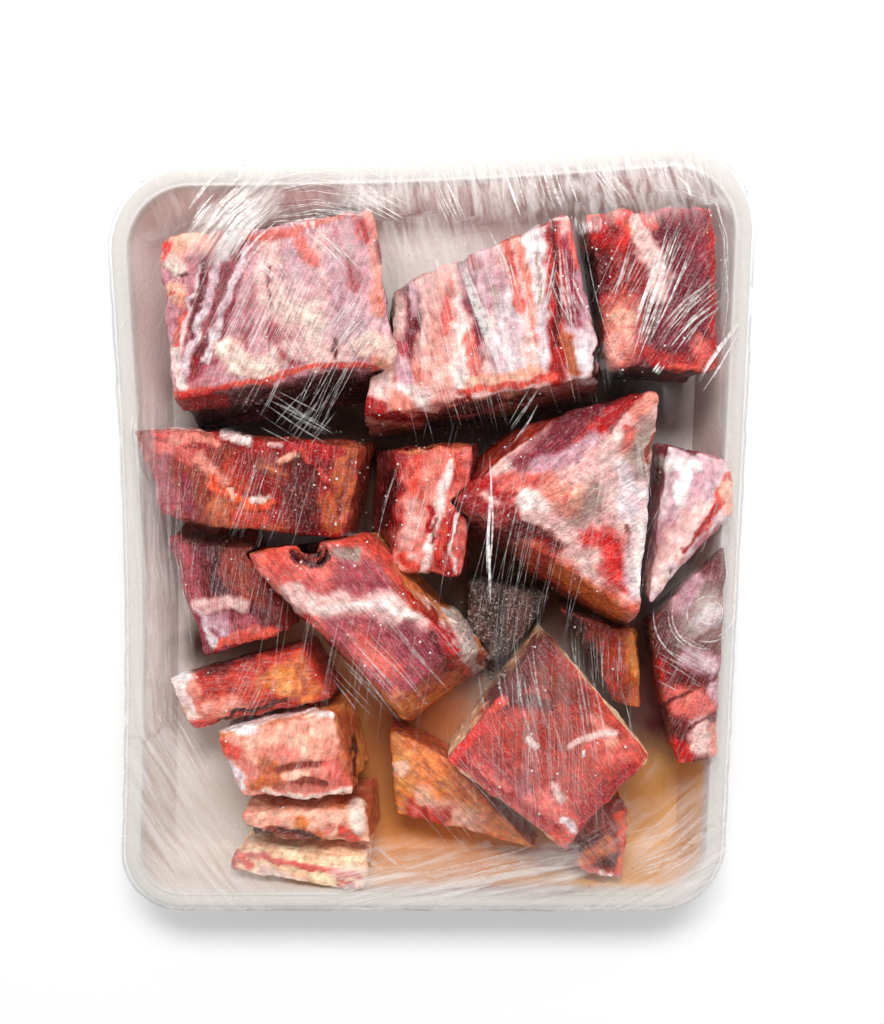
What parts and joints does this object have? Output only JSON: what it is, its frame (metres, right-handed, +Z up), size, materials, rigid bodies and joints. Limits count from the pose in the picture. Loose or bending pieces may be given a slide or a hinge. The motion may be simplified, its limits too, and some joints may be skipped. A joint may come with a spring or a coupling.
{
  "type": "meat tray pack",
  "caption": "Shallow rounded foam tray of bone-in raw meat chunks, sealed under tight clear stretch film.",
  "frame": {"origin": "middle of the base, on the surface that the pack lies on", "axes": "+Z up out of the film side, +Y along the tray to its far short side, +X across it to the right"},
  "size_m": [0.1956, 0.2386, 0.0543],
  "materials": {
    "foam": "fine-beaded white polystyrene foam, matt",
    "film": "clear stretch film, glossy, finely creased",
    "membrane_meat": "moist mauve-pink meat under white membrane",
    "rib_bone": "moist salmon-pink bone and meat",
    "dark_meat": "moist purple-red meat",
    "red_meat": "moist deep red meat with fat",
    "silver_skin": "wet whitish silver skin",
    "marrow_bone": "sawn marrow bone, beige",
    "brown_meat": "moist brown-orange meat and fat",
    "frosted_meat": "dark frozen meat with frost"
  },
  "bodies": {
    "root": {"foam_tray": "foam", "film_wrap": "film", "rib_slab_left": "membrane_meat", "rib_slab_middle": "rib_bone", "block_far_right": "dark_meat", "marbled_block": "red_meat", "purple_block": "dark_meat", "bone_strip": "rib_bone", "notched_slab": "membrane_meat", "pointed_wedge": "red_meat", "silver_skin_chunk": "silver_skin", "crimson_block": "red_meat", "diamond_slab": "membrane_meat", "end_bone_chunk": "rib_bone", "folded_chunk": "rib_bone", "folded_flap": "rib_bone", "marrow_slab": "marrow_bone", "flat_cut": "brown_meat", "fat_strip": "brown_meat", "frosted_piece": "frosted_meat", "near_corner_piece": "brown_meat"}
  },
  "joints": []
}
